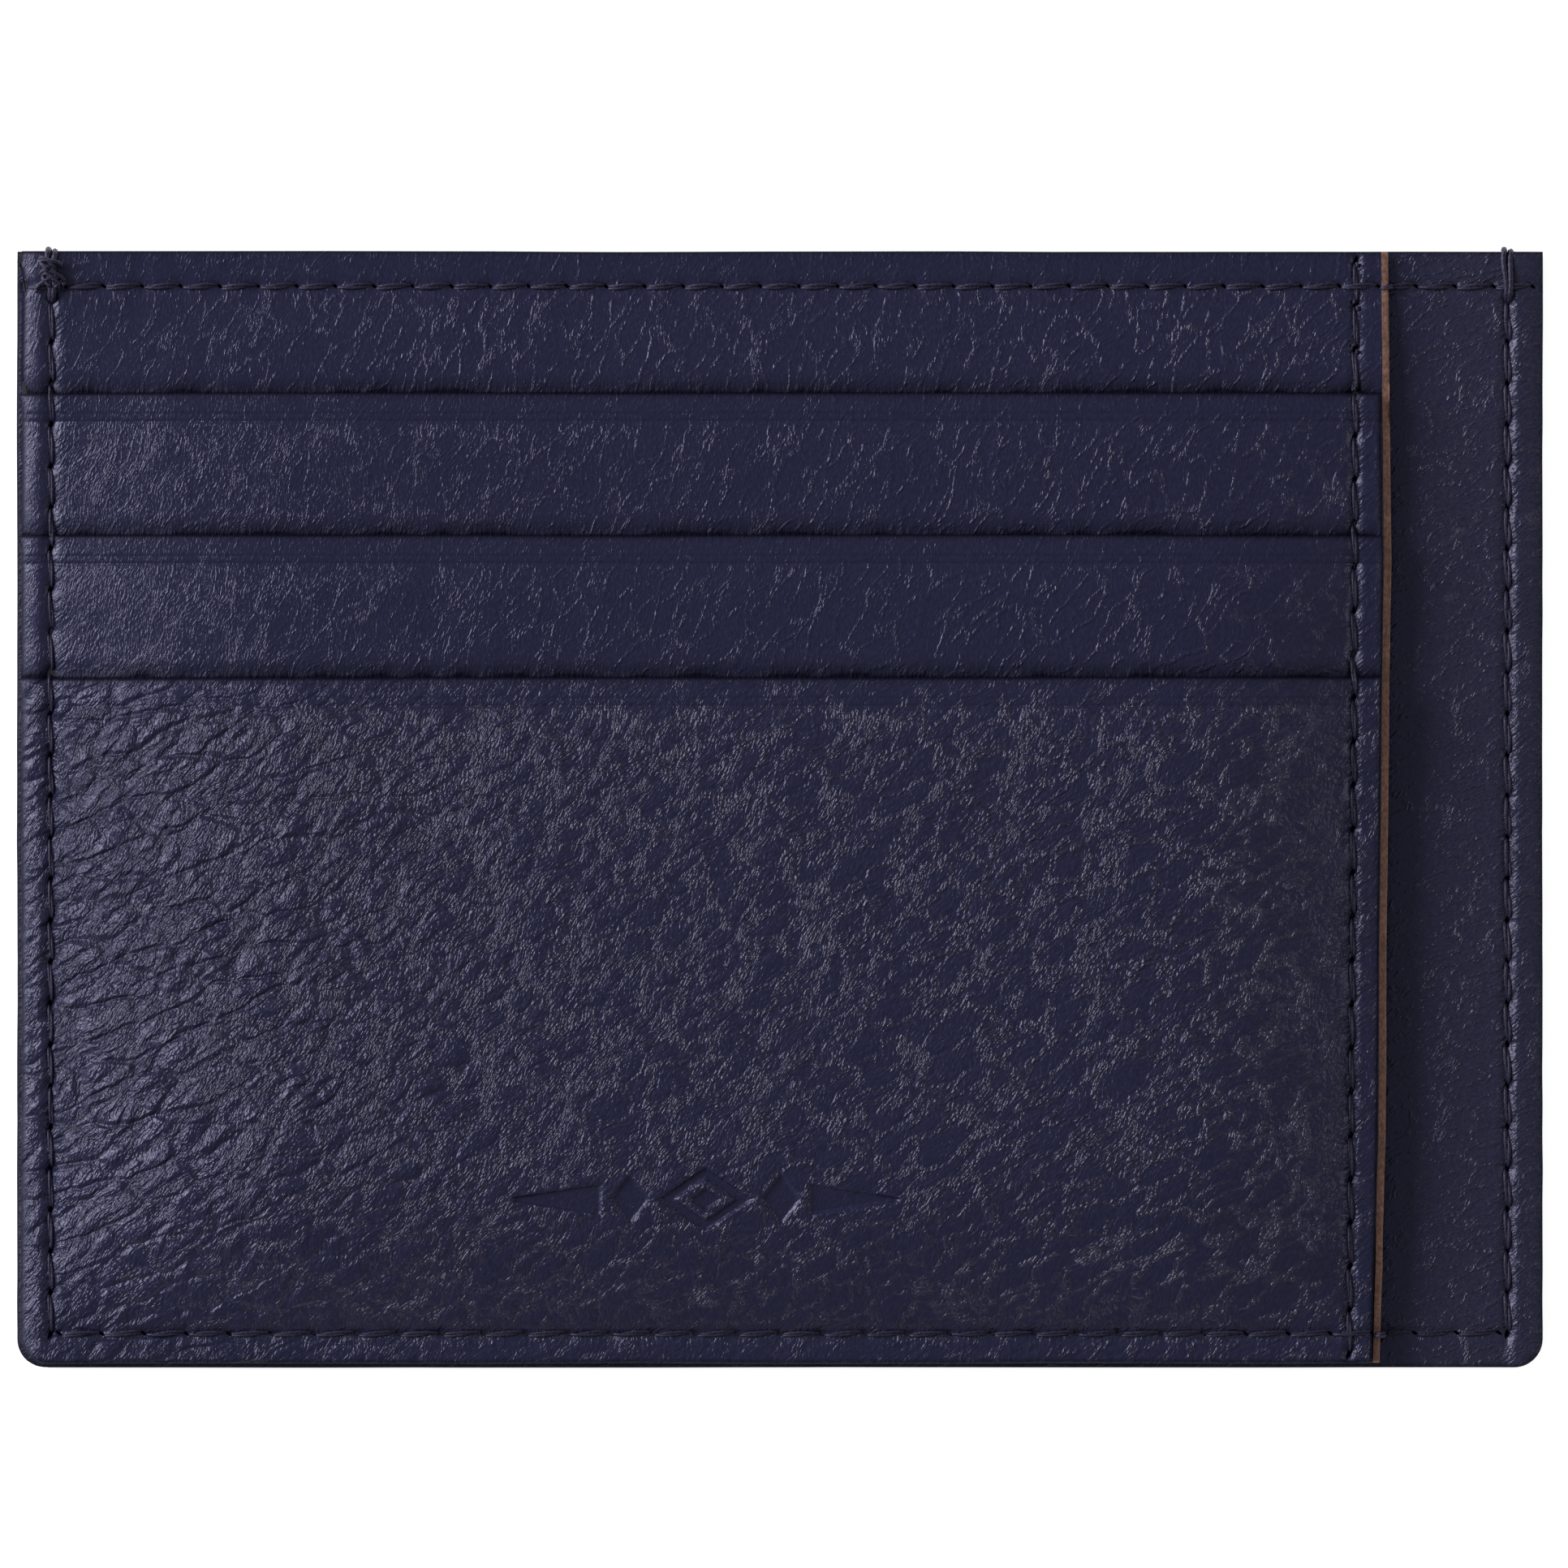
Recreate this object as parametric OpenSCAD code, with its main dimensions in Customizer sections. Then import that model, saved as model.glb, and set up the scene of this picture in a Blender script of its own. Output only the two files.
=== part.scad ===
// Flat leather card holder: three card slots in a front stack, and a slip pocket
// behind the stack that opens at the right side.
// It lies on its back with Z up, the card slots on top and their mouths facing +Y.
// The origin is the middle of the resting face. All sizes are in millimetres.

/* [Body] */
// Width of the back panel
body_w = 107.3; // [100:0.1:120]
// Height of the back panel
body_h = 78.5; // [72:0.1:90]
// Radius of the two bottom corners
corner_r = 2; // [0.5:0.1:2.4]
// Width of the turned-over hem that frames the stiffening board
hem_w = 7; // [5:0.5:10]

/* [Front stack] */
// Inner leather left showing at the right of the stack, at the top edge
side_strip_w = 10.7; // [8:0.1:18]
// How much wider that strip is at the bottom edge
strip_flare = 0.5; // [0:0.1:2]
// Cut edge of the base sheet that shows past the slots
raw_edge_w = 0.6; // [0.2:0.1:1]
// How far the stack stops short of the left and bottom edges
stack_inset = 0.35; // [0:0.05:0.6]
// Distance from the top edge to the first mouth, and from mouth to mouth
slot_pitch = 10; // [8:0.5:12]
// Depth of each card slot below its mouth
slot_depth = 46; // [40:0.5:46]
// Height of the leather strip of the two upper slots
strip_h = 16; // [13:0.5:20]

/* [Pockets] */
// Room in each card slot, for a card 0.76 mm thick
card_room = 0.8; // [0.8:0.05:1.2]
// Room in the side pocket, for a card or folded notes
side_room = 0.9; // [0.9:0.05:1.5]

/* [Leather and board] */
// Leather of the back and of the front pocket
outer_t = 0.6; // [0.5:0.05:0.9]
// Leather of the inner panel
inner_t = 0.45; // [0.4:0.05:0.7]
// Leather of the front stack's base sheet
base_t = 0.5; // [0.4:0.05:0.7]
// Leather of the two upper slots
slot_t = 0.4; // [0.35:0.05:0.6]
// Woven lining below each of those two strips
lining_t = 0.15; // [0.1:0.05:0.3]
// Stiffening board inside the back
board_t = 0.25; // [0.2:0.05:0.4]

/* [Stitching] */
// Distance from an edge to its row of stitches
seam_inset = 2.45; // [2:0.05:3]
// Aim for the length of one stitch
stitch_pitch = 3.1; // [2.7:0.1:3.5]
// Width of the thread
thread_w = 0.36; // [0.3:0.02:0.44]
// How proud of the leather the thread lies
thread_h = 0.2; // [0.15:0.01:0.22]
// Width of each needle hole
needle_w = 0.46; // [0.46:0.02:0.6]

/* [Hidden] */
$fn = 48;

// Edges of the back, and the left and bottom edges of the front stack
edge_x = body_w / 2;
edge_y = body_h / 2;
stack_left = -edge_x + stack_inset;
stack_bottom = -edge_y + stack_inset;

// Heights of the layers, from the resting face up. A card slot is the room below its own panel.
groove_h = thread_h + 0.03;
board_z = outer_t;
inner_z = board_z + board_t;
strip_z = inner_z + inner_t;
base_z = strip_z + side_room;
base_top = base_z + base_t;
slot_1_z = base_top + card_room;
slot_2_z = slot_1_z + slot_t + card_room;
front_z = slot_2_z + slot_t + card_room;
front_top = front_z + outer_t;

// Mouth of each slot, counted from the top, and the floor of each slot
function mouth_y(slot) = edge_y - slot * slot_pitch;
function floor_y(slot) = mouth_y(slot) - slot_depth;

// Right edge of the base sheet at height y: the side strip widens towards the bottom
function stack_right(y) = edge_x - side_strip_w - strip_flare * (edge_y - y) / body_h;

// Height of the uppermost leather at a point
function surface_z(p) =
    p.x > stack_right(p.y) ? strip_z :
    p.y > mouth_y(1) ? base_top :
    p.y > mouth_y(2) ? slot_1_z + slot_t :
    p.y > mouth_y(3) ? slot_2_z + slot_t : front_top;

// Rows of stitches, each from one end to the other. Rows that meet stop half a stitch apart.
gap = stitch_pitch / 2;
seam_x = edge_x - seam_inset;
seam_y = edge_y - seam_inset;
left_seam = [[-seam_x, -seam_y + gap], [-seam_x, seam_y - gap]];
right_seam = [[seam_x, -seam_y + gap], [seam_x, seam_y - gap]];
top_seam = [[-edge_x + gap / 2, seam_y], [edge_x - gap / 2, seam_y]];
bottom_seam = [[-seam_x, -seam_y], [seam_x, -seam_y]];
front_seam = [
    [stack_right(-seam_y + gap) - seam_inset, -seam_y + gap],
    [stack_right(seam_y - gap) - seam_inset, seam_y - gap],
];
outer_seams = [left_seam, right_seam, top_seam, bottom_seam];
stack_seams = [left_seam, top_seam, bottom_seam, front_seam];

// Side by side strands that go over the top edge. On the back they end between the edge
// and the top row of stitches.
wrap_pitch = thread_w + 0.1;
wrap_end = seam_y + seam_inset * 0.6;

// The row across the bottom of a lining, which is the floor of its slot
function lining_seam(slot) = [
    [-seam_x + gap, floor_y(slot)],
    [stack_right(floor_y(slot)) - seam_inset - gap, floor_y(slot)],
];

function stitches(seam) = round(norm(seam[1] - seam[0]) / stitch_pitch);
function stitch_len(seam) = norm(seam[1] - seam[0]) / stitches(seam);
function needle_point(seam, i) = seam[0] + (seam[1] - seam[0]) * i / stitches(seam);
function seam_angle(seam) = atan2(seam[1].y - seam[0].y, seam[1].x - seam[0].x);

// Puts the children at the start of a seam, with X along it
module along(seam) {
    translate(seam[0]) rotate(seam_angle(seam)) children();
}

// Square needle holes right through, at every stitch of each seam
module needle_holes(seams) {
    for (seam = seams)
        along(seam)
            for (i = [0:stitches(seam)])
                translate([i * stitch_len(seam) - needle_w / 2, -needle_w / 2, -1])
                    cube([needle_w, needle_w, front_top + 2]);
}

// Channel in the underside of the back that keeps a row's thread clear of the table
module thread_groove(seam) {
    along(seam)
        translate([-needle_w / 2, -needle_w / 2, -1])
            cube([norm(seam[1] - seam[0]) + needle_w, needle_w, 1 + groove_h]);
}

// Takes the square corner off a sheet at (x, y). side is -1 at the left and 1 at the right.
module corner_cut(x, y, side, r) {
    translate([x - side * r, y + r, -1])
        difference() {
            translate([side > 0 ? 0 : -r - 1, -r - 1, 0]) cube([r + 1, r + 1, front_top + 2]);
            cylinder(r = r, h = front_top + 2);
        }
}

// A sheet over the whole outline
module full_sheet(z, t) {
    difference() {
        translate([-edge_x, -edge_y, z]) cube([body_w, body_h, t]);
        for (side = [-1, 1]) corner_cut(side * edge_x, -edge_y, side, corner_r);
    }
}

// A sheet of the front stack between two heights y, short of the base sheet's edge by back_off
module stack_sheet(z, t, low, high, back_off) {
    translate([0, 0, z])
        linear_extrude(t)
            polygon([
                [stack_left, low],
                [stack_right(low) - back_off, low],
                [stack_right(high) - back_off, high],
                [stack_left, high],
            ]);
}

// One row of stitches: a leg through every needle hole, and a run from hole to hole
// on both faces. A run that crosses a mouth stays at the height of the upper panel.
module seam_thread(seam, back, front = undef) {
    n = stitches(seam);
    pitch = stitch_len(seam);
    tops = [for (i = [0:n]) is_undef(front) ? surface_z(needle_point(seam, i)) : front];
    along(seam)
        translate([-thread_w / 2, -thread_w / 2, 0]) {
            for (i = [0:n])
                translate([i * pitch, 0, back]) cube([thread_w, thread_w, tops[i] + thread_h - back]);
            for (i = [0:n - 1])
                translate([i * pitch, 0, max(tops[i], tops[i + 1])])
                    cube([pitch + thread_w, thread_w, thread_h]);
            translate([0, 0, back]) cube([n * pitch + thread_w, thread_w, thread_h]);
        }
}

module back_panel() {
    color("midnightblue")
        difference() {
            full_sheet(0, outer_t + board_t);
            translate([-edge_x + hem_w, -edge_y + hem_w, board_z])
                cube([body_w - 2 * hem_w, body_h - 2 * hem_w, board_t + 1]);
            needle_holes(outer_seams);
            for (seam = outer_seams) thread_groove(seam);
            for (side = [-1, 1]) wrap_groove(side);
        }
}

module back_stiffener() {
    color("tan")
        translate([-edge_x + hem_w, -edge_y + hem_w, board_z])
            cube([body_w - 2 * hem_w, body_h - 2 * hem_w, board_t]);
}

module inner_panel() {
    color("darkslateblue")
        difference() {
            full_sheet(inner_z, inner_t);
            needle_holes(outer_seams);
        }
}

// Base of the front stack. Its top is the band above the first slot, and its brown
// cut edge shows down the right side.
module front_base() {
    color("saddlebrown")
        difference() {
            stack_sheet(base_z, base_t, stack_bottom, edge_y, 0);
            corner_cut(stack_left, stack_bottom, -1, corner_r);
            needle_holes(concat(stack_seams, [lining_seam(1), lining_seam(2)]));
        }
}

// Leather strip of an upper slot, from its mouth to a little below the next mouth
module slot_strip(slot, z) {
    color("royalblue")
        difference() {
            stack_sheet(z, slot_t, mouth_y(slot) - strip_h, mouth_y(slot), raw_edge_w);
            needle_holes(stack_seams);
        }
}

// Lining that carries on below the strip, to just past the floor of the slot
module slot_lining(slot, z) {
    color("gray")
        difference() {
            stack_sheet(z, lining_t, floor_y(slot) - 1, mouth_y(slot) - strip_h, raw_edge_w);
            needle_holes(concat(stack_seams, [lining_seam(slot)]));
        }
}

module front_pocket() {
    color("navy")
        difference() {
            stack_sheet(front_z, outer_t, stack_bottom, mouth_y(3), raw_edge_w);
            corner_cut(stack_left, stack_bottom, -1, corner_r);
            needle_holes(stack_seams);
        }
}

// Room in the top edge and the back for the strands at the top of a side seam
module wrap_groove(side) {
    for (k = [-1, 1])
        translate([side * seam_x + k * wrap_pitch / 2 - thread_w / 2 - 0.02, wrap_end - 0.05, -1])
            cube([thread_w + 0.04, edge_y - wrap_end + 1, 1 + groove_h]);
}

// Two strands side by side, over the top row on the front and round the top edge
module thread_wrap(side, surface) {
    low_y = seam_y - gap;
    over = surface + thread_h;
    color("silver")
        for (k = [-1, 1])
            translate([side * seam_x + k * wrap_pitch / 2 - thread_w / 2, 0, 0]) {
                translate([0, low_y, over]) cube([thread_w, edge_y - low_y + thread_h, thread_h]);
                translate([0, edge_y, groove_h - thread_h]) cube([thread_w, thread_h, over]);
                translate([0, wrap_end, groove_h - thread_h])
                    cube([thread_w, edge_y - wrap_end + thread_h, thread_h]);
            }
}

module outer_thread(seam) {
    color("dimgray") seam_thread(seam, groove_h - thread_h);
}

module stack_thread() {
    color("dimgray") seam_thread(front_seam, base_z - thread_h);
}

module lining_thread(slot, lining_z) {
    color("slategray") seam_thread(lining_seam(slot), base_z - thread_h, lining_z + lining_t);
}

back_panel();
back_stiffener();
inner_panel();
front_base();
slot_strip(1, slot_1_z);  // card_slot_1
slot_lining(1, slot_1_z);  // card_slot_1_lining
slot_strip(2, slot_2_z);  // card_slot_2
slot_lining(2, slot_2_z);  // card_slot_2_lining
front_pocket();
outer_thread(left_seam);  // stitching_left
outer_thread(right_seam);  // stitching_right
outer_thread(top_seam);  // stitching_top
outer_thread(bottom_seam);  // stitching_bottom
stack_thread();  // stitching_front
lining_thread(1, slot_1_z);  // lining_stitching_1
lining_thread(2, slot_2_z);  // lining_stitching_2
thread_wrap(-1, base_top);  // thread_wrap_left
thread_wrap(1, strip_z);  // thread_wrap_right
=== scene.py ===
"""Looks of the leather card holder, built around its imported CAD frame.

Lengths in this script are millimetres in the CAD frame, and become metres as each mesh is made. The
floor, the lights and the camera are placed in metres.
"""

import math

import bpy
import numpy as np
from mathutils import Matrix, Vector


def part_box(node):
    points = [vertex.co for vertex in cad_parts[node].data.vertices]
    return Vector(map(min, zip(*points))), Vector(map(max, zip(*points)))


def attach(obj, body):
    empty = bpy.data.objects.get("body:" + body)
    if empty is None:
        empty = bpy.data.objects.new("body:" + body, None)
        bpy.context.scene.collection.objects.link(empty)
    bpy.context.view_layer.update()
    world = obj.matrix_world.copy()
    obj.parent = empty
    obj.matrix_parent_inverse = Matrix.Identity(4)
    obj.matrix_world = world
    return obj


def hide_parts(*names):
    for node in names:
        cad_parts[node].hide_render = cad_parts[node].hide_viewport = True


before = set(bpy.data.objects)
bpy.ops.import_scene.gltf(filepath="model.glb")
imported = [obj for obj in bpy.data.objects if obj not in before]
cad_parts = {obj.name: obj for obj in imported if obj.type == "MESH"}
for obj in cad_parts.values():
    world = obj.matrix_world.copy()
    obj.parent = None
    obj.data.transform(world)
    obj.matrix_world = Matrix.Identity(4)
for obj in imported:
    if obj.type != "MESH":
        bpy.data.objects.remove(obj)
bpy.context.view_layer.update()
MM = 0.001


# ---- sizes from the frame

def box_mm(node):
    """A node's lowest and highest corners in millimetres."""
    low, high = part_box(node)
    return np.array(low) / MM, np.array(high) / MM


BACK_LOW, BACK_HIGH = box_mm("back_panel")
INNER_LOW, INNER_HIGH = box_mm("inner_panel")
BOARD_LOW, BOARD_HIGH = box_mm("back_stiffener")
BASE_LOW, BASE_HIGH = box_mm("front_base")
SLOT_LOW, SLOT_HIGH = zip(*(box_mm(n) for n in ("card_slot_1", "card_slot_2", "front_pocket")))
LINING_LOW, LINING_HIGH = zip(*(box_mm(n) for n in ("card_slot_1_lining", "card_slot_2_lining")))

# The right edges of the front stack lean: the panels' top corners lie on one slanted line.
LEAN = (SLOT_HIGH[0][0] - SLOT_HIGH[2][0]) / (SLOT_HIGH[0][1] - SLOT_HIGH[2][1])
MOUTHS = [high[1] for high in SLOT_HIGH]
LEFT_ROW, RIGHT_ROW, TOP_ROW = (box_mm(f"stitching_{side}") for side in ("left", "right", "top"))
THREAD_W = LEFT_ROW[1][0] - LEFT_ROW[0][0]
SEAM_X = (RIGHT_ROW[0][0] + RIGHT_ROW[1][0]) / 2
SEAM_Y = (TOP_ROW[0][1] + TOP_ROW[1][1]) / 2
SEAM_INSET = BACK_HIGH[0] - SEAM_X
CORNER_R = 2.0  # rounding of the lower corners of the back and of the front stack


def stack_right(y):
    """Right edge of the base sheet at height y."""
    return BASE_HIGH[0] - LEAN * (BASE_HIGH[1] - y)


RAW_EDGE = stack_right(SLOT_HIGH[2][1]) - SLOT_HIGH[2][0]  # width of the brown edge


def front_seam_x(y):
    return stack_right(y) - SEAM_INSET


# ---- curves and noise

FAR = 9.0  # further than anything here has an effect


def soft(t):
    """A smooth step: 0 up to t = 0, and 1 from t = 1 on."""
    t = np.clip(t, 0, 1)
    return t * t * (3 - 2 * t)


def bell(distance, width):
    return np.exp(-((distance / width) ** 2))


def flat(height):
    return lambda x, y: height + 0 * x


nothing = flat(0)


def noise(x, y, seed):
    """Smooth noise from -1 to 1, one feature per unit."""
    table = np.random.RandomState(seed).uniform(-1, 1, (256, 256))
    i, j = np.floor(x).astype(int), np.floor(y).astype(int)
    u, v = soft(x - i), soft(y - j)
    at = lambda a, b: table[(i + a) & 255, (j + b) & 255]
    low = at(0, 0) * (1 - u) + at(1, 0) * u
    high = at(0, 1) * (1 - u) + at(1, 1) * u
    return low * (1 - v) + high * v


def cells(x, y, seed):
    """Distances to the nearest and the next nearest of scattered points, one point per unit square."""
    jitter = np.random.RandomState(seed).uniform(0, 1, (2, 256, 256))
    i, j = np.floor(x).astype(int), np.floor(y).astype(int)
    near = np.full(np.shape(x), FAR)
    after = near.copy()
    for a in (-1, 0, 1):
        for b in (-1, 0, 1):
            k = ((i + a) & 255, (j + b) & 255)
            d = np.hypot(i + a + jitter[0][k] - x, j + b + jitter[1][k] - y)
            after = np.minimum(after, np.maximum(near, d))
            near = np.minimum(near, d)
    return near, after


# ---- grain of the hide

PEBBLE_SLANT = 1.2  # how far the rows of pebbles lean against the run of the grain
PEBBLE_EDGE = 0.45  # how soon a pebble reaches its full height, as a share of its size
MESH_DOME = 0.4  # share of a pebble's dome that the mesh adds to the material's
SWELL_H = 0.02  # height of the broad swells
LEFT_RELIEF, RELIEF_FALL = 1.6, 1.25  # strength of the mesh's grain at the left, and its fall from there


class Hide:
    """Where a panel was cut from the hide, and what its grain is like there.

    slope and bend give the run of the grain, pebble the cells per mm across and along that run,
    belt how wide the creased belt between two pebbles is, dome how high a pebble stands in mm, rough
    how strong the fine strokes are on the pebbles at the left, on those at the right and on the
    belts, and creases how deep the cross creases are in mm.
    """

    def __init__(self, seed, slope, bend, pebble, belt, dome, rough, creases=0.0):
        self.seed, self.slope, self.bend, self.creases = seed, slope, bend, creases
        self.pebble, self.belt, self.dome, self.rough = pebble, belt, dome, rough

    def flow(self, x, y):
        """Distances across and along the run of the grain."""
        slope = self.slope + self.bend * x
        run = np.hypot(1, slope)
        return (y - self.slope * x - self.bend * x * x / 2) / run, (x + slope * y) / run

    def relief(self, x, y):
        """Height of the grain that the mesh carries: swells, and domes with dips between them."""
        across, along = self.flow(x, y)
        across = across + 0.5 * noise(x / 5, y / 5, self.seed)
        swell = noise(across / 1.5, along / 6, self.seed + 1)
        slanted = along + PEBBLE_SLANT * across
        near, after = cells(across * self.pebble[0], slanted * self.pebble[1], self.seed + 2)
        dome = np.minimum((after - near) / PEBBLE_EDGE, 1) - 0.7
        strength = LEFT_RELIEF - RELIEF_FALL * soft((x - BACK_LOW[0]) / BACK_HIGH[0])
        return strength * (SWELL_H * swell + MESH_DOME * self.dome * dome)


FRONT_HIDE = Hide(11, 1.70, 0.0130, (0.62, 0.38), 0.20, 0.165, (0.92, 0.40, 1.75), 0.19)
BAND_HIDE = Hide(23, 4.6, 0.020, (0.66, 0.34), 0.125, 0.006, (0.14, 0.16, 0.78))
SLOT_HIDES = [Hide(31, 4.0, 0.020, (0.66, 0.36), 0.125, 0.006, (0.38, 0.20, 0.78)),
              Hide(43, 3.6, 0.020, (0.64, 0.35), 0.12, 0.006, (0.36, 0.17, 0.74)), FRONT_HIDE]
INNER_HIDE = Hide(57, 0.9, 0.0, (0.66, 0.50), 0.15, 0.012, (0.22, 0.22, 0.80))
BACK_HIDE = Hide(71, -1.5, 0.008, (0.66, 0.44), 0.24, 0.050, (0.5, 0.5, 0.9), 0.06)


# ---- seams

UPRIGHT_SLIT, LEVEL_SLIT = (0.37, 0.14), (0.24, 0.085)  # half the length and the width of a needle slit
SEAM_FADE = 1.2  # length over which a seam's effect fades out past its ends
TROUGH, TROUGH_W = 0.16, 0.5  # depth and width of the trough along a seam
RIDGE, RIDGE_W, RIDGE_AT = 0.07, 0.45, 0.95  # the swelling on either side of it, and how far out it is
BULGE, BULGE_W = 0.035, 1.2  # rise of the leather between two holes
HOLE_DIP, HOLE_LIP = 0.2, 0.1  # depth of the dent round a hole, and how far it goes past the slit


class Seam:
    """A row of stitches from one point to another. The needle slits lean across the row.

    lean is a slit's slope against the row, puckers how strongly the leather wrinkles at the left and
    at the right of the row, and depth how hard the thread is pulled in.
    """

    def __init__(self, start, end, pitch, lean, puckers, depth=1.0):
        self.start, self.end = np.array(start, float), np.array(end, float)
        self.length = np.linalg.norm(self.end - self.start)
        self.count = max(1, round(self.length / pitch))
        self.pitch = self.length / self.count
        self.dir = (self.end - self.start) / self.length
        self.side = np.array([-self.dir[1], self.dir[0]])
        self.lean, self.puckers, self.depth = lean, puckers, depth
        self.upright = abs(self.dir[1]) > abs(self.dir[0])
        self.slit = UPRIGHT_SLIT if self.upright else LEVEL_SLIT

    def holes(self):
        return [self.start + self.dir * self.pitch * i for i in range(self.count + 1)]

    def along_off(self, x, y):
        """Distances along the row from its start, and off it to its left."""
        dx, dy = x - self.start[0], y - self.start[1]
        return dx * self.dir[0] + dy * self.dir[1], dx * self.side[0] + dy * self.side[1]

    def beside(self, x, y):
        """1 along the row and 0 past its ends, and the distances along and off it."""
        s, off = self.along_off(x, y)
        started, ended = s / SEAM_FADE + 1, (self.length - s) / SEAM_FADE + 1
        return soft(started) * soft(ended), s, off

    def pull(self, x, y):
        """How far the thread pulls the leather down."""
        inside, s, off = self.beside(x, y)
        phase = s / self.pitch
        to_hole = (phase - np.round(phase)) * self.pitch
        to_hole = np.where((phase < -0.5) | (phase > self.count + 0.5), FAR, to_hole)
        run = np.hypot(1, self.lean)
        a = (to_hole - self.lean * off) / run / (self.slit[0] + HOLE_LIP)
        b = (off + self.lean * to_hole) / run / (self.slit[1] + HOLE_LIP)
        trough = TROUGH * bell(off, TROUGH_W) - RIDGE * bell(np.abs(off) - RIDGE_AT, RIDGE_W)
        bulge = BULGE * np.cos(2 * np.pi * phase) * bell(off, BULGE_W)
        return inside * self.depth * (trough + bulge) + HOLE_DIP * bell(np.hypot(a, b), 1)

    def wrinkles(self, x, y):
        """Strength of the fine wrinkles that run away from the row."""
        inside, s, off = self.beside(x, y)
        amount = np.where(off > 0, self.puckers[0], self.puckers[1])
        gathers = 0.65 + 0.35 * np.cos(2 * np.pi * (s / self.pitch - 0.5))
        return inside * amount * gathers * bell(off, 1.3)


SIDE_TOP = SEAM_Y - 1.0  # the last hole of each side seam
FRONT_LOW, FRONT_HIGH = BASE_LOW[1] + 0.7, BASE_HIGH[1] - 0.7

LEFT_SEAM = Seam((-SEAM_X, -SEAM_Y), (-SEAM_X, SIDE_TOP), 2.85, 0.4, (0.15, 1.0))
RIGHT_SEAM = Seam((SEAM_X, -SEAM_Y), (SEAM_X, SIDE_TOP), 2.87, 0.3, (0.5, 1.5))
FRONT_SEAM = Seam((front_seam_x(FRONT_LOW), FRONT_LOW), (front_seam_x(FRONT_HIGH), FRONT_HIGH),
                  3.05, 0.4, (0.6, 1.1))
TOP_SEAM = Seam((BACK_LOW[0] + 0.7, SEAM_Y), (BACK_HIGH[0] - 0.7, SEAM_Y),
                2.75, 0.7, (0.2, 0.5), 0.6)
BOTTOM_SEAM = Seam((-SEAM_X + 0.6, -SEAM_Y), (SEAM_X - 0.6, -SEAM_Y),
                   3.0, 0.6, (0.35, 0.7), 0.7)


# ---- how the layers lie

PRESSED = 0.9  # how far sewing closes a pocket's room at its seams
# How far from each seam the sewing still presses a pocket: the side pocket, then the card slots.
LEFT_REACH, SIDE_FLOOR_REACH, TOP_REACH = 20, 13, 10
SLOT_FLOOR_REACH, FRONT_REACH = 14, 13
SAG, SAG_REACH = 0.3, 22  # how the side pocket sags towards its open side, and from how far
AIR = 0.02  # left between two layers that are pressed together
STRIP_FADE = 4.0  # length over which the end of a hidden strip thins out


def near_seam(distance, reach):
    return 1 - soft(distance / reach)


def pressed(*distances_and_reaches):
    """1 at a seam and beyond it, 0 in the open middle. It eases off fastest right beside the seam."""
    open_part = 1.0
    for distance, reach in distances_and_reaches:
        open_part = open_part * (1 - (1 - np.clip(distance / reach, 0, 1)) ** 2.2)
    return 1 - open_part


def base_bottom(x, y):
    """Underside of the front stack, over the side pocket."""
    closed = pressed((x + SEAM_X, LEFT_REACH), (y + SEAM_Y, SIDE_FLOOR_REACH), (SEAM_Y - y, TOP_REACH))
    sag = SAG * near_seam(stack_right(y) - x, SAG_REACH)
    room = (BASE_LOW[2] - INNER_HIGH[2]) * (1 - PRESSED * closed) * (1 - sag)
    return INNER_HIGH[2] + room


ROLL_W, ROLL_DROP = 1.3, 0.5  # the rolled left edge of the stack


def roll(x):
    """How far the left edge of the stack is rolled down, from 0 to 1."""
    return np.clip(1 - (x - BASE_LOW[0]) / ROLL_W, 0, 1) ** 1.5


def base_thickness(x, y):
    return BASE_HIGH[2] - BASE_LOW[2] - ROLL_DROP * roll(x)


def base_top(x, y):
    return base_bottom(x, y) + base_thickness(x, y)


def slot_closed(x, y):
    return pressed((x + SEAM_X, LEFT_REACH), (y + SEAM_Y, SLOT_FLOOR_REACH),
                   (front_seam_x(y) - x, FRONT_REACH))


def layers_below(slot, y):
    """Thickness of the slot leathers under a slot's panel: strips above, only linings lower down."""
    total = 0.0
    for k in range(slot):
        strip = SLOT_HIGH[k][2] - SLOT_LOW[k][2]
        lining = LINING_HIGH[k][2] - LINING_LOW[k][2]
        fade = soft((y - SLOT_LOW[k][1]) / STRIP_FADE + 0.5)
        total = total + lining + (strip - lining) * fade
    return total


def slot_bottom(slot):
    """Underside of a slot's panel: open as in the frame in the middle, pressed shut at the seams."""
    def height(x, y):
        is_open = 1 - PRESSED * slot_closed(x, y)
        closed_height = layers_below(slot, y) + AIR
        full_height = SLOT_LOW[slot][2] - BASE_HIGH[2]
        return base_top(x, y) + closed_height + (full_height - closed_height) * is_open
    return height


FOLD_W = 1.2  # width of the turned-over edge at a mouth, before it tapers out
FOLD_RISE = 0.09  # how much the turned-over edge thickens the lip
LIP_LINES = ((1.45, 0.09, 0.035), (2.0, 0.10, 0.07))  # below the mouth: distance, half width, depth
MOUTH_SAG, MOUTH_SAG_REACH = 0.35, 4.5  # how an open mouth sags, and from how far down
MOUTH_SHADE_H = 1.4  # height of the stretch above a mouth that is hollowed, and darkened with painted shade


def fold(slot, y):
    """1 on the turned-over edge of a slot's panel, 0 below it."""
    return 1 - soft((MOUTHS[slot] - y - FOLD_W) / 0.8)


def slot_thickness(slot):
    return lambda x, y: SLOT_HIGH[slot][2] - SLOT_LOW[slot][2] + FOLD_RISE * fold(slot, y)


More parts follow.
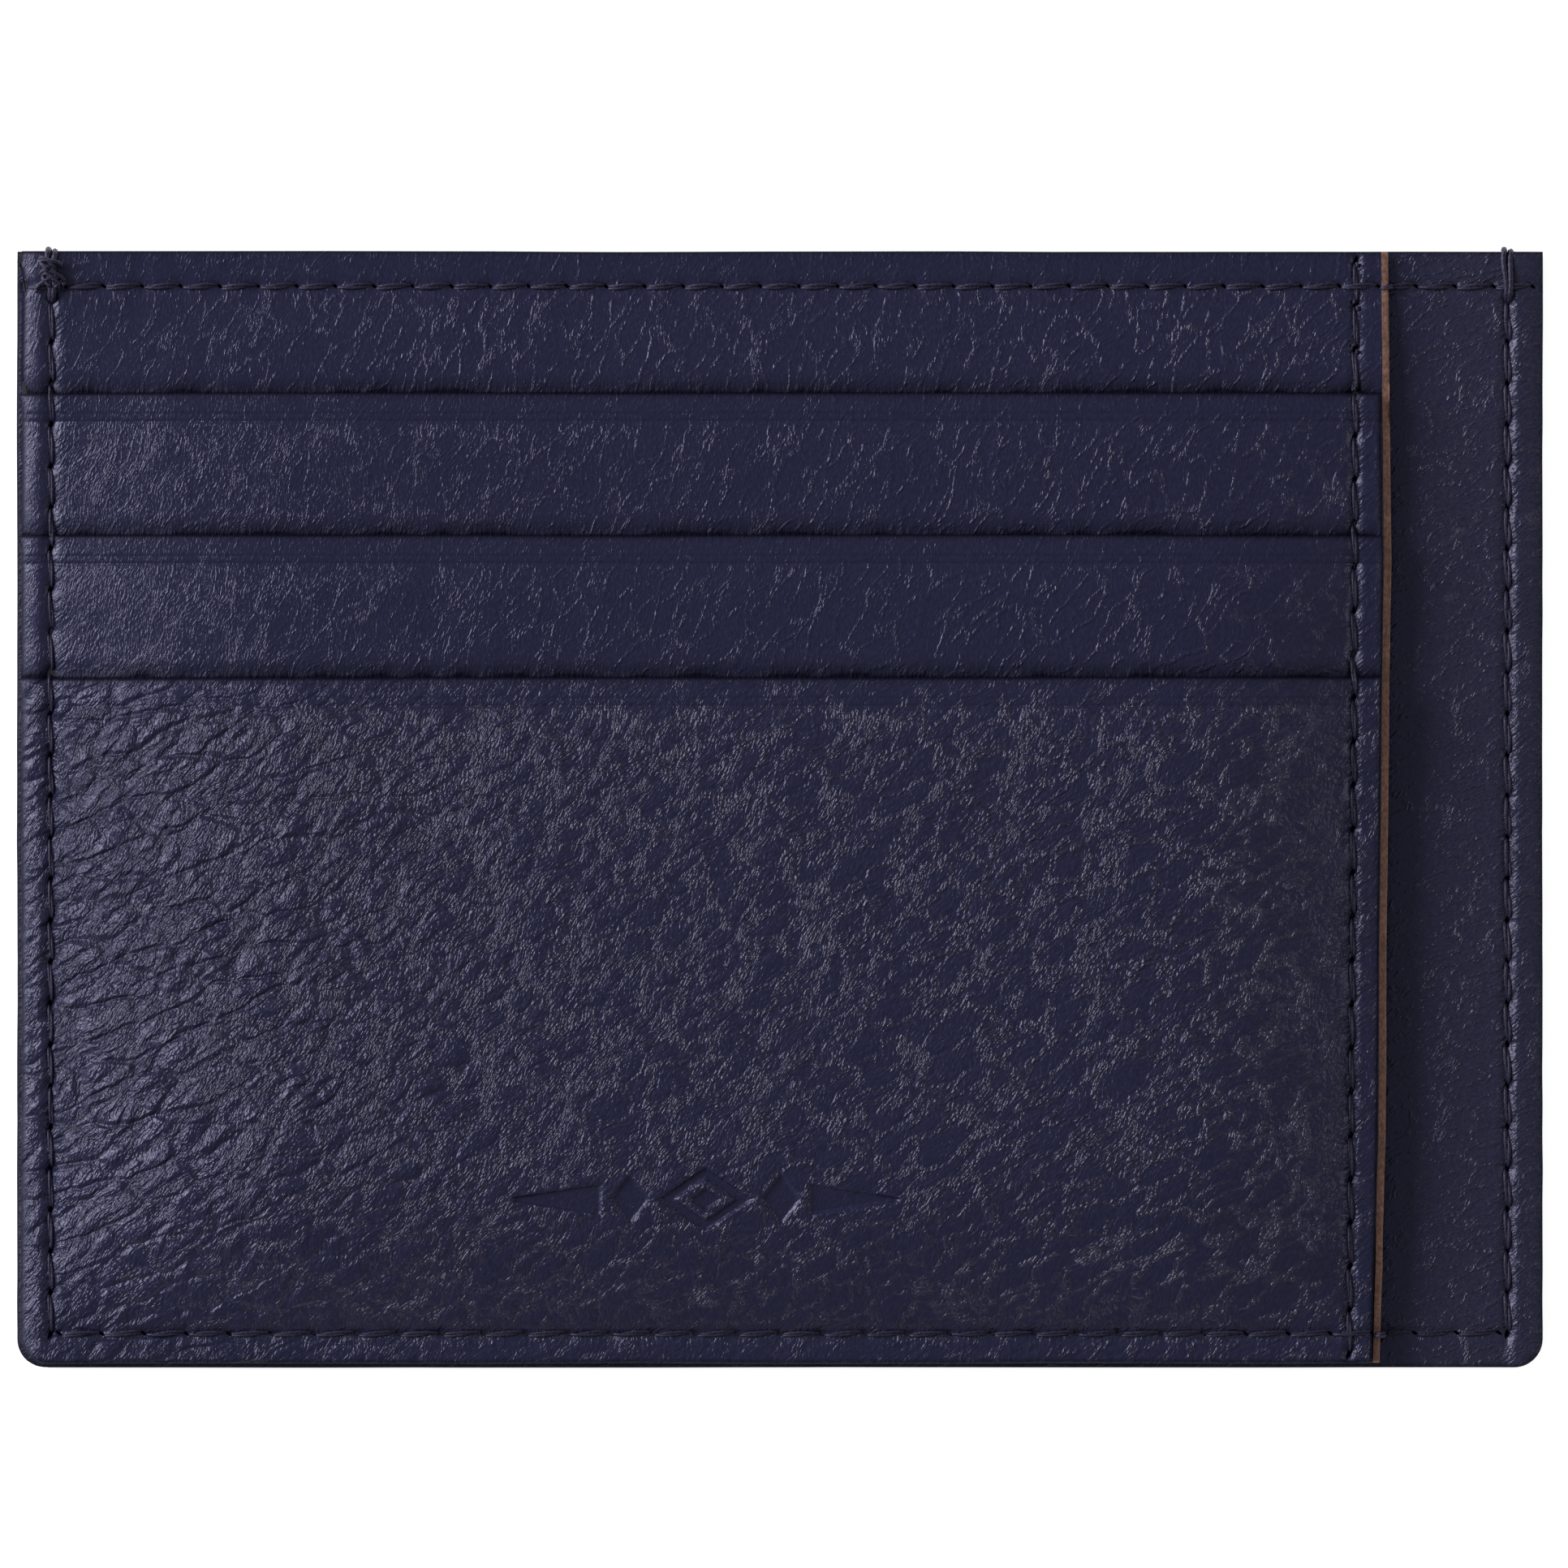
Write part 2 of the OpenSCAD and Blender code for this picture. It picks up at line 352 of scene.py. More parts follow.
def slot_top(slot):
    under, thickness = slot_bottom(slot), slot_thickness(slot)

    def height(x, y):
        drop = MOUTHS[slot] - y
        sag = MOUTH_SAG * near_seam(drop, MOUTH_SAG_REACH) * (1 - slot_closed(x, y))
        lines = sum(depth * bell(drop - distance, half) for distance, half, depth in LIP_LINES)
        return under(x, y) + thickness(x, y) - sag - lines
    return height


def mouth_shade(slot, x, y):
    """Painted shade just above a mouth: how dark the leather is painted where the mouth's edge would shade
    it.
    """
    above = y - MOUTHS[slot]
    above = above + 0.22 * noise(x / 1.4, 0 * x, 401 + slot) * soft(above / 0.2)
    dark = 0.85 * np.exp(-np.maximum(above, 0) / 0.28) + 0.35 * near_seam(above, 1.3)
    return np.clip(dark * (above < MOUTH_SHADE_H), 0, 1)


def mouth_dip(slot, y):
    """Depth of the hollow in the leather just above the mouth of the slot in front of it."""
    above = y - MOUTHS[slot]
    return 0.2 * near_seam(above, MOUTH_SHADE_H) * soft((above + 3) / 1.5)


def inner_top(x, y):
    """Top of the inner leather: a roll between the right seam and the edge, steepest at the seam."""
    margin = np.clip((x - SEAM_X) / SEAM_INSET, 0, 1)
    roll_up = 0.30 * (1 - np.exp(-margin / 0.16)) * (1 - 0.8 * margin ** 2)
    return INNER_HIGH[2] - 0.06 + roll_up


# ---- the pressed ornament

ORNAMENT_AT = np.array([-5.2, -27.3])
ORNAMENT_W, ORNAMENT_H = 27.0, 4.4
LOZENGE_W, LOZENGE_RISE, LOZENGE_LINE = 3.3, 1.6, 0.55  # half width, steepness, and width of its outline
SMALL_AT, BAR_FROM = 5.3, 7.3  # how far out the smaller lozenges are, and where the bars start


def lozenge(x, y, half_w, half_h):
    return 1 - x / half_w - y / half_h


def ornament(x, y):
    """Depth from 0 to 1 of a lozenge with a smaller one and a tapering bar on either side."""
    x, y = np.abs(x - ORNAMENT_AT[0]), np.abs(y - ORNAMENT_AT[1])
    half_w, half_h = ORNAMENT_W / 2, ORNAMENT_H / 2
    outer = lozenge(x, y, LOZENGE_W, half_h) * LOZENGE_RISE
    ring = np.minimum(outer, LOZENGE_LINE - outer)
    core = lozenge(x, y, 1.1, 0.75) * 0.8
    small = lozenge(np.abs(x - SMALL_AT), y, 1.35, 1.75) * 1.1
    taper = 0.95 * (half_w - x) / (half_w - BAR_FROM) + 0.12
    bar = np.minimum.reduce([taper - y, x - BAR_FROM, half_w - x])
    return soft(np.maximum.reduce([ring, core, small, bar]) / 0.16 + 0.5)


# ---- mesh of a leather sheet

EDGE_LINES = np.array([0, 0.06, 0.22, 0.5, 0.8])  # grid lines over a rounded edge, in its radii
PLAIN_STEP = 3.0  # mesh size of the flesh side
RIM_SHADE_W, RIM_WRINKLE_W = 0.24, 0.8  # widths of the line of painted shade and of the wrinkled line along the edges
RIM_UPRIGHT, RIM_LEVEL = 0.22, 0.15  # how wrinkled the upright and the level edges are
SHADE_WRINKLES = 0.8  # how wrinkled the darkened leather above a mouth is
GRAIN_SIDE, FLESH_SIDE, CUT_SIDE = range(3)  # a sheet's material slots


def spaced(low, high, step, radii, zones=()):
    """Grid lines from low to high: close together where the edge rounds over and inside zones."""
    lines = list(low + EDGE_LINES * radii[0])
    at = low + radii[0]
    while at < high - radii[1] - step * 0.3:
        lines.append(at)
        at += min([step] + [fine for start, end, fine in zones if start <= at < end])
    return np.array(lines + list((high - EDGE_LINES * radii[1])[::-1]))


def coarse(lines, radii):
    """Indices of the few grid lines that the plain side of a sheet uses."""
    first = int(np.argmin(np.abs(lines - (lines[0] + radii[0]))))
    last = int(np.argmin(np.abs(lines - (lines[-1] - radii[1]))))
    picked = [0, first]
    for k in range(first, last):
        if lines[k] - lines[picked[-1]] >= PLAIN_STEP and lines[last] - lines[k] > PLAIN_STEP / 2:
            picked.append(k)
    return picked + [last, len(lines) - 1]


def rounded_corners(x, y, corners):
    """Moves the points of square corners in onto a round corner. corners: (x, y, side)."""
    x, y = x.copy(), y.copy()
    for cx, cy, side in corners:
        px, py = CORNER_R - side * (cx - x), CORNER_R - (y - cy)
        inside = (px > 0) & (py > 0)
        reach = np.hypot(px, py)
        shrink = np.where(inside, np.maximum(px, py) / np.maximum(reach, 1e-9), 1)
        x = np.where(inside, cx - side * (CORNER_R - px * shrink), x)
        y = np.where(inside, cy + CORNER_R - py * shrink, y)
    return x, y


def add_object(name, data):
    """A new object in the scene."""
    thing = bpy.data.objects.new(name, data)
    bpy.context.scene.collection.objects.link(thing)
    return thing


def add_piece(name, verts, faces):
    """A smooth object from points in millimetres."""
    mesh = bpy.data.meshes.new(name)
    mesh.from_pydata((verts * MM).tolist(), [], faces)
    mesh.polygons.foreach_set("use_smooth", np.ones(len(faces), dtype=bool))
    mesh.update()
    return add_object(name, mesh)


def rounding(edges, radii):
    """1 in the middle of a sheet, and a quarter circle down to 0 at each edge."""
    rise = 1.0
    for distance, radius in zip(edges, radii):
        u = np.clip(distance / radius, 0, 1)
        rise = rise * np.sqrt(np.maximum(1 - (1 - u) ** 2, 0))
    return rise


def seam_marks(x, y, seams):
    """How far seams pull the leather down, and how they wrinkle it beside upright and level rows."""
    pulled, upright, level = np.zeros_like(x), np.zeros_like(x), np.zeros_like(x)
    for seam in seams:
        pulled = np.maximum(pulled, seam.pull(x, y))
        wrinkles = upright if seam.upright else level
        np.maximum(wrinkles, seam.wrinkles(x, y), out=wrinkles)
    return pulled, upright, level


def grid_faces(nx, ny):
    """Four-cornered faces of a grid whose points are numbered along y first."""
    index = np.arange(nx * ny).reshape(nx, ny)
    quads = np.stack([index[:-1, :-1], index[1:, :-1], index[1:, 1:], index[:-1, 1:]], -1)
    return quads.reshape(-1, 4).tolist()


def plain_side(ix, iy, nx, ny):
    """The grid places under which the plain side has points of its own, and its faces.

    Those points follow the nx by ny points of the grain side. At the edges the faces take in every
    point of the grain side, which closes the sheet.
    """
    inside = [(i, j) for i in ix[1:-1] for j in iy[1:-1]]
    own = {place: nx * ny + k for k, place in enumerate(inside)}
    at = lambda i, j: own.get((i, j), i * ny + j)
    faces = []
    for a, b in zip(ix[:-1], ix[1:]):
        for c, d in zip(iy[:-1], iy[1:]):
            low = range(a, b) if c == 0 else [a]
            right = range(c, d) if b == nx - 1 else [c]
            high = range(b, a, -1) if d == ny - 1 else [b]
            left = range(d, c, -1) if a == 0 else [d]
            ring = ([at(i, c) for i in low] + [at(b, j) for j in right]
                    + [at(i, d) for i in high] + [at(a, j) for j in left])
            faces.append(ring[::-1])
    return inside, faces


def sheet(name, xs, ys, place, surface, thickness, radii, relief, calm, seams, shaded=nothing,
          wear_and_light=nothing, face_up=True):
    """A closed sheet of leather, finely meshed on its grain side and plainly on its flesh side.

    xs and ys are grid lines, place moves grid points to the outline, surface gives the grain side's
    height, radii are the roundings at the left, right, bottom and top edges, calm says where
    the fine grain is flattened, shaded where painted shade darkens the leather, and the last argument
    where the leather is lightened, by a rubbed finish and by painted light.
    """
    gx, gy = np.meshgrid(xs, ys, indexing="ij")
    x, y = place(gx, gy)
    up = 1 if face_up else -1
    edges = (gx - xs[0], xs[-1] - gx, gy - ys[0], ys[-1] - gy)
    pulled, upright, level = seam_marks(x, y, seams)
    thick, grain, shade = thickness(x, y), surface(x, y), shaded(x, y)
    middle = grain - up * thick / 2
    z = middle + up * (thick / 2 + relief(x, y) - pulled) * rounding(edges, radii)

    rims = [bell(distance, RIM_WRINKLE_W) for distance in edges]
    upright = np.maximum(upright, RIM_UPRIGHT * np.maximum(rims[0], rims[1]))
    level = np.maximum(level, RIM_LEVEL * np.maximum(rims[2], rims[3]))
    # The shaded mark is painted shade: the shade above a mouth, and a dark line along every edge that also
    # dulls its reflection.
    marks = {"calm": np.clip(calm(x, y), 0, 1), "wear_and_light": wear_and_light(x, y),
             "shaded": np.maximum(shade, bell(np.minimum.reduce(edges), RIM_SHADE_W)),
             "wrinkled_across": upright, "wrinkled_along": np.maximum(level, SHADE_WRINKLES * shade)}

    inside, plain_faces = plain_side(coarse(xs, radii[:2]), coarse(ys, radii[2:]), len(xs), len(ys))
    flesh = np.array([(x[at], y[at], grain[at] - up * thick[at]) for at in inside])
    grain_faces = grid_faces(len(xs), len(ys))
    faces = grain_faces + plain_faces
    if not face_up:
        faces = [face[::-1] for face in faces]
    piece = add_piece(name, np.concatenate([np.stack([x, y, z], -1).reshape(-1, 3), flesh]), faces)
    for mark, values in marks.items():
        values = np.concatenate([values.reshape(-1), np.zeros(len(flesh))]).astype(np.float32)
        piece.data.attributes.new(mark, "FLOAT", "POINT").data.foreach_set("value", values)
    side = np.full(len(faces), GRAIN_SIDE, dtype=np.int32)
    side[len(grain_faces):] = FLESH_SIDE
    piece.data.polygons.foreach_set("material_index", side)
    return piece


def cut_raw(piece, xs, ys, width):
    """Gives the faces along the sheet's right edge the cut-edge material."""
    first = sum(xs < xs[-1] - width) - 1
    for k in range(first * (len(ys) - 1), (len(xs) - 1) * (len(ys) - 1)):
        piece.data.polygons[k].material_index = CUT_SIDE


# ---- materials

class Value:
    """A number that shader nodes work out. The usual signs of arithmetic add the nodes for it."""

    def __init__(self, nodes, socket):
        self.nodes, self.socket = nodes, socket

    def __add__(self, other):
        return self.nodes.math("ADD", self, other)

    def __sub__(self, other):
        return self.nodes.math("SUBTRACT", self, other)

    def __rsub__(self, other):
        return self.nodes.math("SUBTRACT", other, self)

    def __mul__(self, other):
        return self.nodes.math("MULTIPLY", self, other)

    def __truediv__(self, other):
        return self.nodes.math("DIVIDE", self, other)


class Nodes:
    """Short ways to add and join a material's nodes. point, x, y and z are the place in millimetres."""

    def __init__(self, name):
        self.material = bpy.data.materials.new(name)
        self.material.use_nodes = True
        self.tree = self.material.node_tree
        self.shader = self.tree.nodes["Principled BSDF"].inputs
        metres = self.put("ShaderNodeTexCoord").outputs["Object"]
        scaled = self.put("ShaderNodeVectorMath", {0: metres, "Scale": 1 / MM}, operation="SCALE")
        self.point = scaled.outputs[0]
        split = self.put("ShaderNodeSeparateXYZ", {0: self.point})
        self.x, self.y, self.z = (Value(self, axis) for axis in split.outputs)

    def put(self, kind, inputs=(), **settings):
        node = self.tree.nodes.new(kind)
        for key, value in settings.items():
            setattr(node, key, value)
        for key, value in dict(inputs).items():
            self.feed(node.inputs[key], value)
        return node

    def feed(self, socket, value):
        if isinstance(value, Value):
            value = value.socket
        if isinstance(value, bpy.types.NodeSocket):
            self.tree.links.new(value, socket)
        else:
            socket.default_value = value

    def math(self, operation, *values):
        return Value(self, self.put("ShaderNodeMath", enumerate(values), operation=operation).outputs[0])

    def ramp(self, value, low, high, out_low=0.0, out_high=1.0):
        inputs = {"Value": value, "From Min": low, "From Max": high, "To Min": out_low, "To Max": out_high}
        node = self.put("ShaderNodeMapRange", inputs, interpolation_type="SMOOTHSTEP")
        return Value(self, node.outputs["Result"])

    def mix(self, factor, low, high):
        """A colour between two. The mix node's sockets 6, 7 and 2 are the ones for colours."""
        return self.put("ShaderNodeMix", {"Factor": factor, 6: low, 7: high}, data_type="RGBA").outputs[2]

    def vector(self, x, y, z=0.0):
        return self.put("ShaderNodeCombineXYZ", {0: x, 1: y, 2: z}).outputs[0]

    def noise(self, vector, scale=1.0, detail=2.0, rough=0.5, distortion=0.0):
        node = self.put("ShaderNodeTexNoise", {"Vector": vector, "Scale": scale, "Detail": detail,
                                               "Roughness": rough, "Distortion": distortion})
        return Value(self, node.outputs[0])

    def to_border(self, vector, randomness):
        """Distance to the nearest border between cells, one cell per unit."""
        node = self.put("ShaderNodeTexVoronoi", {"Vector": vector, "Scale": 1.0, "Randomness": randomness},
                        feature="DISTANCE_TO_EDGE")
        return Value(self, node.outputs["Distance"])

    def mark(self, name):
        """What sheet() wrote on the mesh under that name."""
        return Value(self, self.put("ShaderNodeAttribute", attribute_name=name).outputs["Fac"])

    def finish(self, colour, roughness, height=None):
        """The material, with its colour, its roughness and the bumps of a height in millimetres."""
        self.feed(self.shader["Base Color"], colour)
        self.feed(self.shader["Roughness"], roughness)
        if height is not None:
            bump = self.put("ShaderNodeBump", {"Height": height, "Distance": MM, "Strength": 1.0})
            self.feed(self.shader["Normal"], bump.outputs[0])
        return self.material


NAVY_DEEP = (0.0170, 0.0190, 0.0570, 1)
NAVY = (0.0235, 0.0260, 0.0700, 1)
NAVY_WORN = (0.032, 0.030, 0.062, 1)
# A light colour for rubbed finish, also used as painted light on the strip and as a painted highlight along
# the cut edges.
RUBBED_AND_LIT = (0.10, 0.095, 0.13, 1)
# Colours of painted shade: inside the needle slits, and above the mouths and along the edges.
HOLE_SHADE = (0.0006, 0.0006, 0.0012, 1)
SHADE_DARK = (0.0022, 0.0024, 0.0075, 1)
SHEEN_TINT = (0.78, 0.74, 1.0, 1)
CUT_BROWN = (0.530, 0.275, 0.195, 1)
CUT_DARK = (0.230, 0.125, 0.095, 1)
FLESH_DARK, FLESH_LIGHT = (0.012, 0.012, 0.022, 1), (0.030, 0.026, 0.034, 1)
LINING_DARK, LINING_LIGHT = (0.006, 0.006, 0.012, 1), (0.022, 0.022, 0.035, 1)
THREAD_DARK, THREAD_LIGHT = (0.014, 0.013, 0.031, 1), (0.052, 0.047, 0.088, 1)
BOARD_DARK, BOARD_LIGHT = (0.22, 0.17, 0.12, 1), (0.38, 0.31, 0.23, 1)

# Heights of the leather's fine relief.
STROKE_H, FOLD_H, RIDGE_H, PORE_H, WRINKLE_H, SLIT_H = 0.13, 0.065, 0.006, 0.022, 0.19, 0.12
REST = 0.22  # the noise value at which strokes and folds leave the leather's height alone


def slits(n, seam):
    """1 inside the needle slits of a seam."""
    dx, dy = n.x - seam.start[0], n.y - seam.start[1]
    s, off = (dx * way[0] + dy * way[1] for way in (seam.dir, seam.side))
    nearest = n.math("MAXIMUM", n.math("ROUND", s / seam.pitch) * seam.pitch, 0.0)
    to_hole = s - n.math("MINIMUM", nearest, seam.length)
    run = math.hypot(1, seam.lean)
    a = (to_hole - off * seam.lean) / (run * seam.slit[0])
    b = (off + to_hole * seam.lean) / (run * seam.slit[1])
    return n.ramp(a * a + b * b, 0.5, 1.7, 1.0, 0.0)


def cross_creases(n):
    """Strength of the creases that cross the grain in the left half."""
    u, v = n.x + n.y * 0.36, n.y - n.x * 0.36
    border = n.to_border(n.vector(u * 0.18, v * 0.45 + n.noise(n.point, 0.5) * 0.5), 0.8)
    return n.ramp(border, 0.0, 0.13, 1.0, 0.0) * n.ramp(n.x, BACK_LOW[0], 0.15 * BACK_LOW[0], 1.0, 0.0)


def wrinkles(n):
    """The fine wrinkles that run away from seams, from edges and from the mouths."""
    level = n.noise(n.vector(n.x * 0.9, (n.y - n.x * 0.8) * 3.4))
    upright = n.noise(n.vector(n.x * 3.4, n.y * 0.9))
    return level * n.mark("wrinkled_across") + upright * n.mark("wrinkled_along")


def leather(name, hide, seams):
    """Grained navy leather: fine strokes gathered along creases that run the way the hide says."""
    n = Nodes(name)
    slope = n.x * hide.bend + hide.slope
    run = n.math("SQRT", slope * slope + 1.0)
    across = (n.y - n.x * (n.x * (hide.bend / 2) + hide.slope)) / run + n.noise(n.point, 0.22) * 2.6
    along = (slope * n.y + n.x) / run
    stretched = lambda a, b: n.vector(across * a, along * b, hide.seed)

    bands = n.noise(stretched(0.3, 0.12), detail=3.0, rough=0.6)
    strokes = n.noise(stretched(6.4, 2.4), detail=1.2, rough=0.55, distortion=0.2)
    folds = n.noise(stretched(1.5, 0.6), distortion=0.4)
    broken = n.ramp(n.noise(stretched(1.1, 0.9)), 0.36, 0.54)
    pores = n.noise(n.point, 6.0)
    wander = n.noise(n.point, 0.7) * 0.4 + across
    slanted = wander * PEBBLE_SLANT + along
    border = n.to_border(n.vector(wander * hide.pebble[0], slanted * hide.pebble[1], hide.seed), 0.85)

    open_grain = n.mark("calm") * -0.85 + 1.0
    on_belt = n.ramp(border, 0.01, hide.belt, 1.0, 0.0) * broken
    at_left, at_right, on_belts = hide.rough
    plain = n.ramp(n.x, BACK_LOW[0], 0.35 * BACK_HIGH[0], at_left, at_right)
    strength = (plain + on_belt * (on_belts - plain)) * open_grain
    strength = strength * n.ramp(n.x, 0.1 * BACK_HIGH[0], 0.7 * BACK_HIGH[0], 1.0, 1.45)
    dome = n.ramp(border, 0.0, 0.28) * open_grain * n.ramp(n.x, BACK_LOW[0], 0.0, 1.0, 0.35)
    hole = slits(n, seams[0])
    for seam in seams[1:]:
        hole = n.math("MAXIMUM", hole, slits(n, seam))

    height = (strokes - REST) * strength * STROKE_H + (folds - REST) * strength * FOLD_H
    height = height + dome * hide.dome + n.ramp(strokes, 0.52, 0.72) * RIDGE_H + pores * PORE_H
    if hide.creases:
        height = height - cross_creases(n) * open_grain * hide.creases
    height = height + wrinkles(n) * WRINKLE_H - hole * SLIT_H

    # Painted shade: the shaded mark darkens the leather, and the needle slits are painted nearly black as
    # the shade inside them; both also weaken the specular and raise the roughness.
    painted_shade = n.mark("shaded") * 0.85
    shade = n.math("MAXIMUM", hole, painted_shade)
    tone = n.mix(n.ramp(strokes, 0.35, 0.65), NAVY_DEEP, NAVY)
    tone = n.mix(n.ramp(strokes * strength, 0.38, 0.62) * 0.5, tone, NAVY_WORN)
    # The lightening mark mixes in the rubbed colour: rubbed finish, painted light on the strip and a painted
    # highlight along the cut edges.
    tone = n.mix(n.mark("wear_and_light") * n.ramp(pores, 0.4, 0.6, 0.2, 0.8), tone, RUBBED_AND_LIT)
    tone = n.mix(hole, n.mix(painted_shade, tone, SHADE_DARK), HOLE_SHADE)
    n.feed(n.shader["Specular IOR Level"], shade * -0.6 + 0.6)
    n.feed(n.shader["Specular Tint"], SHEEN_TINT)
    return n.finish(tone, shade * 0.4 + n.ramp(bands, 0.3, 0.7, 0.34, 0.27), height)


def cut_edge():
    """Raw brown edge of the base sheet: compressed fibres along the cut."""
    n = Nodes("cut_edge")
    fibres = n.noise(n.vector(n.x * 5.0, n.y * 3.0, n.z * 5.0), detail=3.0, rough=0.6)
    tone = n.mix(n.ramp(fibres, 0.30, 0.75), CUT_DARK, CUT_BROWN)
    tone = n.mix(n.ramp(n.noise(n.point, 0.35), 0.45, 0.75, 0.0, 0.6), tone, CUT_DARK)
    return n.finish(tone, 0.75, fibres * 0.05)


def flesh_side():
    """Suede underside of a panel."""
    n = Nodes("flesh_side")
    nap = n.noise(n.point, 4.0, detail=4.0, rough=0.7)
    return n.finish(n.mix(nap, FLESH_DARK, FLESH_LIGHT), 0.9, nap * 0.05)


def lining_weave(threads_per_mm):
    """Plain weave cloth."""
    n = Nodes("lining_weave")
    turn = math.pi * threads_per_mm
    weave = n.math("SINE", n.x * turn) * n.math("SINE", n.y * turn) * 0.5 + 0.5
    return n.finish(n.mix(weave, LINING_DARK, LINING_LIGHT), 0.85, weave * 0.04)


def thread():
    """Twisted polyester thread with a slight sheen."""
    n = Nodes("thread")
    fibre = n.noise(n.point, 9.0)
    n.feed(n.shader["Specular Tint"], SHEEN_TINT)
    return n.finish(n.mix(n.ramp(fibre, 0.35, 0.7), THREAD_DARK, THREAD_LIGHT), 0.45, fibre * 0.03)


def fibre_board():
    """Grey-brown fibre board, matt."""
    n = Nodes("fibre_board")
    return n.finish(n.mix(n.noise(n.point, 1.5, detail=5.0, rough=0.7), BOARD_DARK, BOARD_LIGHT), 0.9)


CUT_EDGE, FLESH, THREAD, LINING = cut_edge(), flesh_side(), thread(), lining_weave(4.0)


def finish_piece(piece, materials, node):
    for material in materials:
        piece.data.materials.append(material)
    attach(piece, "root")
    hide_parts(node)


def finish_leather(piece, look, hide, seams, node):
    finish_piece(piece, [leather(look, hide, seams), FLESH, CUT_EDGE], node)


# ---- the leather panels

ROLL_R = 0.5  # rounding of the rolled left edge
EDGE_R = 0.42  # rounding of a turned edge
CUT_R = 0.10  # rounding of a cut edge
NEAR_EDGE, AT_EDGE = 20, 60  # powers that keep a change close to an edge
# The right edge of the stack wanders off its straight line: how far, and at which height.
EDGE_BOW = ((-0.3, BASE_LOW[1]), (0.0, -24.0), (0.05, 0.0), (0.16, BASE_HIGH[1] - 22), (-0.22, BASE_HIGH[1]))


def wavy(x, y, seed, amount=0.05):
    """Small unevenness of a hand-cut outline."""
    return (x + amount * noise(y / 9, x / 60, seed) + amount * 0.4 * noise(y / 2.3, x / 60, seed + 1),
            y + amount * noise(x / 11, y / 60, seed + 2))


def rubbed_and_lit_edge(past, y):
    """How much lighter a cut edge is: its finish rubbed off, and a painted highlight along it. past is the
    distance beyond its crest.
    """
    width = 0.20 + 0.14 * noise(y / 1.7, 0 * y, 61) + 0.10 * noise(y / 0.45, 0 * y, 62)
    return soft((past + width) / width) * (0.75 + 0.25 * noise(y / 0.8, 0 * y, 63))


def panel(name, left, right_gap, low, high, surface, thickness, relief, calm, seams, step, radii,
          seed, corner=False, zones_x=(), zones_y=(), shaded=nothing, cut_w=0.0):
    """A panel of the front stack between two heights y. Its right edge is a raw cut.

    A nib of leather sticks out past its left edge, near the top.
    """
    width = stack_right(high) - right_gap - left
    xs = spaced(left, left + width, step, radii[:2], zones_x)
    ys = spaced(low, high, step, radii[2:], zones_y)
    nib_y, nib_w = (high - 0.15, 0.25) if high < BASE_HIGH[1] else (high - 0.7, 0.4)
    offsets, heights = zip(*EDGE_BOW)
    crest = right_gap + cut_w

    def place(x, y):
        u = (x - left) / width
        x = left + u * (stack_right(y) - right_gap - left)
        if corner:
            x, y = rounded_corners(x, y, [(left, BASE_LOW[1], -1)])
        x = x + np.interp(y, heights, offsets) * u ** NEAR_EDGE
        x = x - nib_w * bell(y - nib_y, 0.45) * (1 - u) ** AT_EDGE
        return wavy(x, y, seed)

    piece = sheet(name, xs, ys, place, surface, thickness, radii, relief, calm, seams, shaded,
                  wear_and_light=lambda x, y: rubbed_and_lit_edge(x - stack_right(y) + crest, y))
    if cut_w:
        cut_raw(piece, xs, ys, cut_w)
    return piece


def beyond_seams(x, y):
    """1 in the narrow margins between the seams and the edges."""
    out = np.maximum.reduce([-SEAM_X - x, np.abs(y) - SEAM_Y, x - front_seam_x(y)])
    return soft(out / 0.5)


def lip(slot, y):
    """1 on the lip of a slot's mouth, down to the crease line under it."""
    return near_seam((MOUTHS[slot] - y - 1.6) / 0.8, 1.0)


def near_ornament(x, y):
    dx = np.maximum(np.abs(x - ORNAMENT_AT[0]) - ORNAMENT_W / 2, 0)
    dy = np.maximum(np.abs(y - ORNAMENT_AT[1]) - ORNAMENT_H / 2, 0)
    return near_seam(np.hypot(dx, dy), 1.2)


def near_bottom(x, y):
    """1 at the bottom seam and 0 well above it; weaker away from the left corner."""
    return near_seam(y + SEAM_Y, 22) * (0.3 + 0.7 * near_seam(x + SEAM_X, 40))


def front_relief(x, y):
    """The front pocket's grain, with the ornament pressed into it."""
    mark = ornament(x, y)
    grain = FRONT_HIDE.relief(x, y) * (1 - mark) * (1 - 0.5 * near_ornament(x, y))
    return grain * (1 - 0.6 * lip(2, y)) * (1 - 0.75 * near_bottom(x, y)) - 0.2 * mark


def front_calm(x, y):
    return np.maximum.reduce([0.55 * lip(2, y), 0.5 * beyond_seams(x, y), 0.5 * near_bottom(x, y),
                              ornament(x, y)])


def slot_relief(slot):
    return lambda x, y: SLOT_HIDES[slot].relief(x, y) * (1 - 0.6 * lip(slot, y)) - mouth_dip(slot + 1, y)


def slot_calm(slot):
    return lambda x, y: np.maximum(0.55 * lip(slot, y), 0.5 * beyond_seams(x, y))


def base_relief(x, y):
    """The band's grain, the hollow above the first mouth, and the skived brown edge."""
    brown = np.clip((x - stack_right(y)) / RAW_EDGE + 1, 0, 1)
    return BAND_HIDE.relief(x, y) * (1 - soft(brown * 4)) - mouth_dip(0, y) - 0.16 * brown


def base_calm(x, y):
    return 0.5 * np.maximum(beyond_seams(x, y), near_seam(x + SEAM_X, 30))


# Painted shade above the first mouth, kept off the brown edge.
def base_shade(x, y):
    return mouth_shade(0, x, y) * (x < stack_right(y) - RAW_EDGE)


